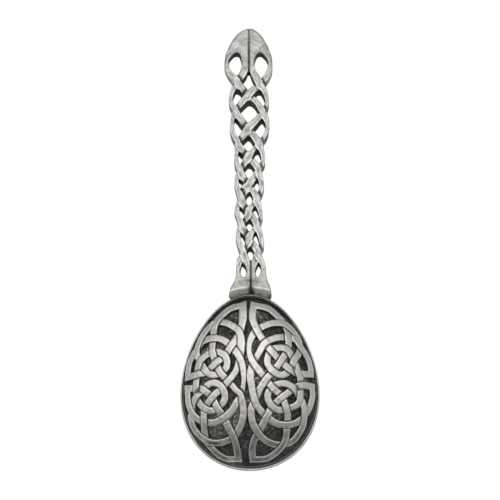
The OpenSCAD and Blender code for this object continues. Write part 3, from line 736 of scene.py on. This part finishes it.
def strandPasses(number, flat, crossed):
    over, under, shade = (np.zeros(flat.shape[:2]) for _ in range(3))
    for n, (at, rows, near, half) in enumerate(crossed):
        distance = nearLine(flat[rows].reshape(-1, 2), near).reshape(len(rows), -1)
        if (n % 2 == 0) == (number in plait["firstOver"]):
            over[rows] = np.maximum(over[rows], 1 - smoothStep(half - 0.2, half + 0.05, distance))
            continue
        coming = (rows < at)[:, None]
        gap = distance - half
        ramp = smoothStep(0, 1, gap / np.where(coming, *plait["ramp"]))
        dip = np.where(coming, *plait["dip"]) * (1 - ramp)
        dip = np.maximum(dip, 1 - smoothStep(half - 0.16, half, distance))
        under[rows] = np.maximum(under[rows], dip)
        # painted shade: the strand is darkened where it dips under another, fading with distance from the
        # crossing
        far = smoothStep(0, 1, gap / np.where(coming, *plait["dipShadeRamp"]))
        shade[rows] = np.maximum(shade[rows], np.where(coming, *plait["dipShade"]) * (1 - far))
    return over, under, shade


def strandWearAndShade(number, flat, over, shade):
    count, around = over.shape
    across, worn = np.array(plait["section"])[:, [0, 2]].T
    u, x = np.repeat(np.arange(count) * plait["spacing"], around), np.tile(across, count)
    none = np.zeros(count * around)
    brushed = grain(np.column_stack([u / 2.6, x * 2.2, none]), 1.0, 3.0 + number).reshape(over.shape)
    stripes = grain(np.column_stack([u / 1.6, x * 3.6, none]), 1.0, 8.0 + number).reshape(over.shape)
    # the painted shade takes the wear away near a dip, and the stripes show only inside it
    streaks = plait["brushedWear"] * brushed * (1 - shade) + plait["stripedWear"] * stripes * shade
    wearAndShade = worn * (1 - shade) + streaks * (worn > 0.6)
    fromLeft = flat[:, :, 0] - np.interp(flat[:, :, 1], edgeU, leftEdge)
    fromRight = np.interp(flat[:, :, 1], edgeU, rightEdge) - flat[:, :, 0]
    inward = smoothStep(0.15, 0.5, np.minimum(fromLeft, fromRight))
    flank = plait["flankWear"] * (1 - inward) * (1 + stripes)
    return np.maximum(wearAndShade, flank), np.maximum(worn * (1 - 0.8 * over), flank)


def makeStrand(number):
    flat, crossed = strandFlat(number)
    over, under, shade = strandPasses(number, flat, crossed)
    u = strandLines[number][0][:, 1]
    bowlDive, bowlReach = plait["bowlDive"]
    finialDive, finialReach = plait["finialDive"]
    sunk = bowlDive * (1 - smoothStep(0, bowlReach, u - u[-1]))
    sunk += finialDive * (1 - smoothStep(0, finialReach, u[0] - u))
    face = handle["thickness"] / 2 - handle["crown"] * (flat[:, :, 0] / handle["finialHalfWidth"]) ** 2
    face = face - sunk[:, None]
    depth = np.array(plait["section"])[:, 1] * plait["bevel"]
    front = face - depth
    front = front + (np.minimum(-0.03, front) - front) * under
    deep = plait["deeper"] * smoothStep(*plait["deeperFrom"], u) * (1 - smoothStep(*plait["deeperTo"], u))
    back = depth - face - deep[:, None]
    back = back + (np.maximum(0.03, back) - back) * over
    wearAndShade, backWear = strandWearAndShade(number, flat, over, shade)
    rings = np.concatenate([np.concatenate([flat, front[:, :, None]], 2),
                            np.concatenate([flat[:, ::-1], back[:, ::-1, None]], 2)], 1)
    count, total = rings.shape[:2]
    faces = tubeFaces(count, total, False)
    faces.append(tuple(range(total)))
    faces.append(tuple((count - 1) * total + j for j in range(total)))
    label = str(number + 1)
    piece = addMesh("strand" + label, laid(onHandle(rings.reshape(-1, 3))), faces)
    ringWearAndShade = np.concatenate([wearAndShade, backWear[:, ::-1]], 1).ravel()
    finishPiece(piece, ringWearAndShade, "plait_strand_" + label, "plaitPewter", 55)


for number in range(4):
    makeStrand(number)

# Finial and collar: each half is cut out flat, remeshed finely and worked over like wax before casting
cast = {
    "voxel": 0.13,
    "smoothing": 5,
    "edgeRound": 0.28,
    "faceBand": 0.75,      # what counts as the face, measured down from it
    "seamDepth": 0.5,
    "eyeBead": 0.11,       # the raised lips round an eye and along the seam
    "seamBead": 0.05,
    "legDive": 0.3,
    "dents": (0.1, 0.06),
    "topWear": 0.76,
    "dentWear": 2.2,
    "eyeWear": 0.3,
    "seamGrime": 0.72,
    "edgeGrime": 0.2,
    "flankWear": 0.34,
}
finial = {
    "left": [
        (-0.36, 93.0), (-1.0, 92.95), (-1.6, 92.7), (-2.6, 92.25), (-3.6, 91.65), (-4.6, 90.6),
        (-5.45, 89.55), (-6.03, 88.45), (-6.63, 87.4), (-7.13, 86.35), (-7.55, 85.3), (-7.93, 84.2),
        (-8.2, 83.15), (-8.36, 82.1), (-8.48, 81.0), (-8.5, 79.95), (-8.4, 78.9), (-6.72, 78.9),
        (-6.95, 80.0), (-7.02, 81.0), (-6.95, 81.9), (-6.3, 82.95), (-5.3, 84.1), (-4.35, 84.45),
        (-3.55, 84.1), (-3.03, 82.7), (-2.72, 81.05), (-2.75, 79.9), (-2.95, 78.9), (-1.6, 78.3),
        (-0.36, 77.5)],
    "right": [
        (-0.36, 93.0), (0.3, 92.95), (1.3, 92.7), (2.0, 92.2), (2.7, 91.6), (3.75, 90.6), (4.45, 89.55),
        (5.05, 88.45), (5.6, 87.4), (6.1, 86.35), (6.5, 85.3), (6.9, 84.2), (7.2, 83.15), (7.35, 82.1),
        (7.43, 81.0), (7.48, 79.95), (7.4, 78.9), (5.75, 78.9), (5.9, 80.2), (5.97, 81.25), (5.4, 82.6),
        (4.6, 83.6), (3.83, 84.35), (3.07, 84.4), (2.3, 83.85), (1.8, 82.7), (1.52, 81.5), (1.5, 80.4),
        (1.62, 78.9), (0.6, 78.3), (-0.36, 77.5)],
    "middle": -0.36,
    "ends": 78.9,
    "eyes": [(-4.9, 80.7), (3.75, 80.7)],
}
collar = {
    "left": [
        (0.27, 11.6), (0.27, -1.7), (-6.2, -1.7), (-6.93, -0.6), (-6.95, 0.5), (-6.6, 1.55),
        (-5.75, 2.95), (-5.12, 4.0), (-4.68, 5.5), (-4.56, 7.5), (-4.54, 9.4), (-3.0, 9.4), (-3.15, 8.4),
        (-3.18, 7.4), (-3.05, 6.2), (-2.65, 5.35), (-2.1, 5.1), (-1.6, 5.4), (-1.25, 6.2), (-1.15, 7.4),
        (-1.2, 9.2), (-0.5, 10.2)],
    "right": [
        (0.27, 11.6), (0.27, -1.7), (6.6, -1.7), (7.1, -0.6), (7.12, 0.5), (6.9, 1.55), (6.3, 2.95),
        (5.78, 4.0), (5.45, 5.76), (5.28, 7.5), (5.08, 9.4), (3.5, 9.4), (3.6, 8.4), (3.5, 7.3),
        (3.3, 6.4), (2.9, 5.5), (2.45, 5.1), (2.1, 5.6), (1.8, 6.5), (1.78, 7.6), (1.8, 9.2), (1.0, 10.2)],
    "middle": 0.27,
    "ends": 9.4,
    "eyes": [(-2.2, 7.2), (2.65, 7.2)],
    "footRise": 0.9,
    "footSlant": math.radians(38),
    "footRound": 0.28,
    "footBow": 0.9,               # its ends bend down round the bowl
    "notch": 0.5,                 # how far the lip runs up at the seam
    "footWear": 0.95,
    "lineWear": 0.3,              # the bright line over the lip
    # painted shade along the foot's slant, just under the lip
    "lipShade": 0.7,
    "seamGrime": 0.75,
    "patchGrime": 0.62,           # the dark patch between the lip and the eyes
    "block": (0.04, 0.02, 0.04),  # what cuts the foot's slant, in metres
}


def outlineY(x):
    v = np.ones_like(x)
    for _ in range(12):
        v = np.sqrt(np.clip(1 - (x / baseWidth(v)) ** 2, 0, 1))
    return v * bowl["length"] / 2


def flatCut(name, outline):
    half = handle["thickness"] / 2
    count = len(outline)
    points = [(x * mm, u * mm, side * half * mm) for side in (-1, 1) for x, u in outline]
    faces = [tuple(range(count)), tuple(range(2 * count - 1, count - 1, -1))]
    faces += [(i, (i + 1) % count, count + (i + 1) % count, count + i) for i in range(count)]
    piece = addMesh(name, points, faces)
    faceOutwards(piece.data)
    selectOnly(piece)
    return piece


def refine(piece):
    remesh = piece.modifiers.new("remesh", "REMESH")
    remesh.mode = "VOXEL"
    remesh.voxel_size = cast["voxel"] * mm
    bpy.ops.object.modifier_apply(modifier=remesh.name)
    smooth = piece.modifiers.new("smooth", "SMOOTH")
    smooth.iterations = cast["smoothing"]
    bpy.ops.object.modifier_apply(modifier=smooth.name)
    return np.array([v.co for v in piece.data.vertices]) / mm


def wallDistance(points, keep):
    walls = points[keep]
    tree = kdtree.KDTree(len(walls))
    for i, w in enumerate(walls):
        tree.insert((w[0], w[1], 0), i)
    tree.balance()
    return np.array([tree.find((p[0], p[1], 0))[2] for p in points])


def workOver(points, part):
    face = handle["thickness"] / 2
    x, u, z = points.T
    fromSeam = np.abs(x - part["middle"])
    wall = np.abs(z) < face - cast["faceBand"]
    seamWall = wall & (fromSeam < 0.25)
    eyeX, eyeU = np.array(part["eyes"]).T
    nearEye = (np.abs(x[:, None] - eyeX) < 2.95) & (u[:, None] < eyeU + 4.4) & (u[:, None] > eyeU - 2.6)
    past = part["ends"] - u if part is finial else u - part["ends"]
    fading = smoothStep(-0.45, 0, past)    # the legs dive into the strands that continue them
    calm = 1 - smoothStep(-2.4, -0.5, past)
    fromEdge = wallDistance(points, wall & ~seamWall & (past < -0.3))
    fromEye = wallDistance(points, wall & nearEye.any(1) & ~seamWall)
    top = smoothStep(face - cast["faceBand"], face - 0.3, np.abs(z))
    seamStrength = 1 - 0.5 * smoothStep(84, 92, u)
    drop = handle["crown"] * (x / handle["finialHalfWidth"]) ** 2
    drop += cast["edgeRound"] * calm * (1 - smoothStep(0, 0.75, fromEdge)) ** 2 + cast["legDive"] * fading
    drop += cast["seamDepth"] * seamStrength * (1 - smoothStep(0.0, 0.5, fromSeam)) ** 1.3
    drop -= cast["eyeBead"] * np.exp(-((fromEye - 0.5) / 0.25) ** 2)
    drop -= cast["seamBead"] * np.exp(-((fromSeam - 0.62) / 0.2) ** 2)
    broad, fine = cast["dents"]
    dents = (broad * grain(points, 3.1, 5.0) + fine * grain(points, 1.2, 2.0)) * calm
    points[:, 2] -= np.sign(z) * top * (drop + dents)
    flank = cast["flankWear"] * smoothStep(0.6, 1.1, fromEye) * smoothStep(0.3, 0.8, fromSeam)
    wearAndShade = np.maximum(0.04, flank * (1 + grain(points, 1.5, 4.0)) * (1 - top))
    wearAndShade = wearAndShade + top * (cast["topWear"] + cast["dentWear"] * dents)
    wearAndShade += top * cast["eyeWear"] * np.exp(-((fromEye - 0.42) / 0.3) ** 2)
    wearAndShade *= 1 - top * cast["seamGrime"] * seamStrength * (1 - smoothStep(0.05, 0.42, fromSeam))
    wearAndShade *= 1 - cast["edgeGrime"] * top * calm * (1 - smoothStep(0.05, 0.2, fromEdge))
    return wearAndShade


def cutFoot(piece):
    bpy.ops.mesh.primitive_cube_add(size=1)
    cutter = bpy.context.active_object
    slant = collar["footSlant"]
    corner = Vector((0, collar["footRise"], handle["thickness"] / 2)) * mm
    cutter.scale = collar["block"]
    cutter.rotation_euler = (-slant, 0, 0)
    cutter.location = corner - Vector((0, math.cos(slant), -math.sin(slant))) * (collar["block"][1] / 2)
    selectOnly(piece)
    cut = piece.modifiers.new("foot", "BOOLEAN")
    cut.operation = "DIFFERENCE"
    cut.solver = "EXACT"
    cut.object = cutter
    bpy.ops.object.modifier_apply(modifier=cut.name)
    bpy.data.objects.remove(cutter)


def formFoot(points, wearAndShade):  # x, u and z follow the points as they are moved
    x, u, z = points.T
    lip = collar["footRise"] - (handle["thickness"] / 2 - z) * math.tan(collar["footSlant"])
    foot = u - lip
    front = smoothStep(-1, 1, z)
    middle = x - collar["middle"]
    points[:, 2] -= front * collar["footRound"] * (1 - smoothStep(0, 0.9, foot)) ** 2
    points[:, 1] -= front * collar["footBow"] * (middle / 6.5) ** 2 * (1 - smoothStep(0.2, 3.2, u))
    notch = np.exp(-(middle / 0.9) ** 2) * (1 - smoothStep(0.2, 1.5, foot))
    points[:, 1] += front * collar["notch"] * notch
    below = collar["footWear"] - 0.5 * smoothStep(4.6, 6.4, x) + 0.5 * grain(points, 1.6, 6.0)
    # painted shade: a dark band on the foot's slant just under the lip, where the collar's lower edge faces
    # away from the light, darker towards the right
    below -= collar["lipShade"] * np.exp(-((foot + 0.25) / 0.22) ** 2) * (0.6 + 0.4 * smoothStep(-3, 1, x))
    share = (1 - smoothStep(-0.05, 0.2, foot)) * front
    wearAndShade = wearAndShade + front * collar["lineWear"] * np.exp(-((foot - 0.55) / 0.3) ** 2)
    wearAndShade = wearAndShade * (1 - share) + below * share
    spread = 0.45 + 0.8 * (1 - smoothStep(0, 1.2, foot))
    seam = np.exp(-(middle / spread) ** 2) * (1 - smoothStep(0.5, 1.3, foot)) * smoothStep(-0.9, -0.3, foot)
    patch = np.exp(-(middle / 2.3) ** 2 - ((u - 3.5) / 1.3) ** 2) * (0.75 + 1.3 * grain(points, 0.9, 1.0))
    return wearAndShade - front * (collar["seamGrime"] * seam + collar["patchGrime"] * patch)


def finishHalf(piece, points, wearAndShade, node, finish):
    standing = onHandle(points)
    atBowl = standing[:, 1] < bowl["length"] / 2 + 0.1
    standing[:, 1] = np.where(atBowl, np.maximum(standing[:, 1], outlineY(standing[:, 0])), standing[:, 1])
    world = laid(standing)
    world[:, 2] = np.maximum(world[:, 2], 0)
    movePoints(piece, world)
    finishPiece(piece, wearAndShade, node, finish, 60)


for side in ("left", "right"):
    piece = flatCut("finial" + side.capitalize(), finial[side])
    points = refine(piece)
    wearAndShade = workOver(points, finial)
    finishHalf(piece, points, wearAndShade, "finial_" + side, "finialPewter")

for side in ("left", "right"):
    piece = flatCut("collar" + side.capitalize(), collar[side])
    cutFoot(piece)
    points = refine(piece)
    wearAndShade = formFoot(points, workOver(points, collar))
    finishHalf(piece, points, wearAndShade, "collar_" + side, "collarPewter")

# Floor, light and camera
studio = {
    "floorSize": 12.0,
    "floorWhite": 0.94,        # share of plain white that the camera sees in the floor
    "floorGloss": 0.3,         # and that the pewter reflects
    "floorColour": (0.82, 0.82, 0.82, 1),
    "floorGlow": 1.05,
    "sky": [(0.0, 0.1), (0.1, 0.14), (0.25, 0.42), (0.38, 0.98), (0.55, 0.95), (0.75, 0.62), (1.0, 0.45)],
    "skyLow": 0.3,             # its strength at the horizon, of 1 overhead
    "fieldWidth": 0.165,       # what the 500 pixels of the photograph span, at the bowl's rim
    "distance": 4.0,
    "aimY": 43.725,            # the photograph's middle, along the bowl's plane
    "keyPlace": (0.05, 0.3, 1.25),
    "key": 2.5,
    "keySize": 1.0,
    "fillPlace": (-0.9, 0.1, 0.9),
    "fill": 0.8,
    "fillSize": 0.9,
}


def makeFloor():
    bpy.ops.mesh.primitive_plane_add(size=studio["floorSize"], location=(0, 0, 0))
    floor = bpy.context.active_object
    floor.name = "floor"
    material = bpy.data.materials.new("paleFloor")
    material.use_nodes = True
    tree = material.node_tree
    tree.nodes.clear()
    out = tree.nodes.new("ShaderNodeOutputMaterial")
    mix = tree.nodes.new("ShaderNodeMixShader")
    paint = tree.nodes.new("ShaderNodeBsdfDiffuse")
    paint.inputs["Color"].default_value = studio["floorColour"]
    glow = tree.nodes.new("ShaderNodeEmission")
    glow.inputs["Color"].default_value = (1, 1, 1, 1)
    glow.inputs["Strength"].default_value = studio["floorGlow"]
    path = tree.nodes.new("ShaderNodeLightPath").outputs
    seen = maths(tree, "MULTIPLY", path["Is Camera Ray"], studio["floorWhite"])
    share = maths(tree, "MULTIPLY_ADD", path["Is Glossy Ray"], studio["floorGloss"], seen)
    linkNodes(tree, [(share, mix.inputs[0]), (paint.outputs[0], mix.inputs[1]),
                     (glow.outputs[0], mix.inputs[2]), (mix.outputs[0], out.inputs[0])])
    floor.data.materials.append(material)


def makeSky():  # grey bands from the bowl's side over the top to the finial's, and white for the camera
    world = bpy.data.worlds.new("studio")
    bpy.context.scene.world = world
    world.use_nodes = True
    tree = world.node_tree
    tree.nodes.clear()
    out = tree.nodes.new("ShaderNodeOutputWorld")
    mix = tree.nodes.new("ShaderNodeMixShader")
    white = tree.nodes.new("ShaderNodeBackground")
    white.inputs["Color"].default_value = (1, 1, 1, 1)
    soft = tree.nodes.new("ShaderNodeBackground")
    path = tree.nodes.new("ShaderNodeLightPath")
    place = tree.nodes.new("ShaderNodeTexCoord")
    split = tree.nodes.new("ShaderNodeSeparateXYZ")
    bands = tree.nodes.new("ShaderNodeValToRGB")
    for at, level in studio["sky"][1:-1]:
        bands.color_ramp.elements.new(at)
    for element, (at, level) in zip(bands.color_ramp.elements, studio["sky"]):
        element.position = at
        element.color = (level, level, level, 1)
    along = maths(tree, "MULTIPLY_ADD", split.outputs["Y"], 0.5, 0.5)
    strength = maths(tree, "MULTIPLY_ADD", split.outputs["Z"], 1 - studio["skyLow"], studio["skyLow"], True)
    linkNodes(tree, [
        (place.outputs["Generated"], split.inputs[0]), (along, bands.inputs[0]),
        (bands.outputs[0], soft.inputs["Color"]), (strength, soft.inputs["Strength"]),
        (path.outputs["Is Camera Ray"], mix.inputs[0]), (soft.outputs[0], mix.inputs[1]),
        (white.outputs[0], mix.inputs[2]), (mix.outputs[0], out.inputs[0])])


def softLight(name, position, size, power):
    light = bpy.data.lights.new(name, "AREA")
    light.size = size
    light.energy = power
    lamp = bpy.data.objects.new(name, light)
    bpy.context.scene.collection.objects.link(lamp)
    lamp.location = position
    lamp.rotation_euler = (-Vector(position)).to_track_quat("-Z", "Y").to_euler()
    lamp.visible_camera = False


def makeCamera():
    data = bpy.data.cameras.new("camera")
    data.lens = data.sensor_width * studio["distance"] / studio["fieldWidth"]
    data.clip_end = 20
    camera = bpy.data.objects.new("camera", data)
    bpy.context.scene.collection.objects.link(camera)
    aim = Vector(laid([[0, studio["aimY"], 0]])[0])
    camera.location = aim + Vector((0, -tiltSin, tiltCos)) * studio["distance"]
    camera.rotation_euler = (tilt, 0, 0)
    bpy.context.scene.camera = camera


makeFloor()
makeSky()
softLight("keyLight", studio["keyPlace"], studio["keySize"], studio["key"])
softLight("fillLight", studio["fillPlace"], studio["fillSize"], studio["fill"])
makeCamera()
bpy.context.scene.view_settings.view_transform = "Standard"
print("studio ready")
